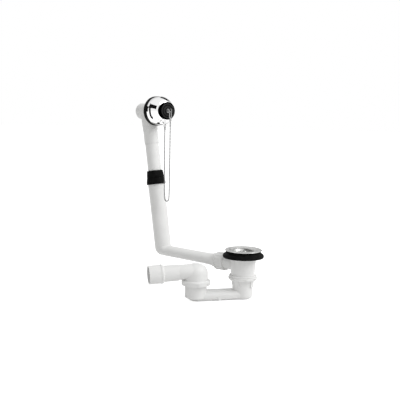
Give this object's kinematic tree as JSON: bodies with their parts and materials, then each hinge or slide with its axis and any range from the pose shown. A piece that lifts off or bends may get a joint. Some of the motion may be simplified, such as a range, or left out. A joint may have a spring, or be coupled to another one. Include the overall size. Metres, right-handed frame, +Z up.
{
  "type": "bath waste and overflow",
  "caption": "Bath waste with strainer flange, shallow trap and side outlet, joined by a leaning overflow pipe to a domed cover that parks a plug on a ball chain.",
  "frame": {"origin": "On the waste axis, at the underside of the flange where it meets the bath floor.", "axes": "+Z is up along the waste axis, -X runs under the bath to the overflow, the trap turns towards -X -Y."},
  "size_m": [0.3747, 0.2268, 0.439],
  "materials": {
    "white_plastic": "moulded, satin",
    "chromed_cover": "polished",
    "steel_fastener": "turned",
    "black_rubber": "matt moulded",
    "insert_brass": "turned",
    "chain_metal": "plated"
  },
  "bodies": {
    "root": {"waste_body": "white_plastic", "port_nut": "white_plastic", "overflow_pipe": "white_plastic", "overflow_tube": "white_plastic", "overflow_housing": "white_plastic", "trap_inlet_nut": "white_plastic", "trap_body": "white_plastic", "trap_outlet_nut": "white_plastic", "outlet_elbow": "white_plastic", "waste_flange": "chromed_cover", "overflow_rosette": "chromed_cover", "waste_screw": "steel_fastener", "rosette_screw": "steel_fastener", "waste_seal": "black_rubber", "port_seal": "black_rubber", "coupling_sleeve": "black_rubber", "neck_seal": "black_rubber", "overflow_seal": "black_rubber", "plug": "black_rubber", "trap_inlet_seal": "black_rubber", "trap_outlet_seal": "black_rubber", "waste_insert": "insert_brass", "housing_insert": "insert_brass", "plug_eye": "chain_metal", "plug_link": "chain_metal", "plug_bell": "chain_metal", "anchor_ring": "chain_metal", "anchor_bell": "chain_metal", "ball_chain": "chain_metal"}
  },
  "joints": []
}
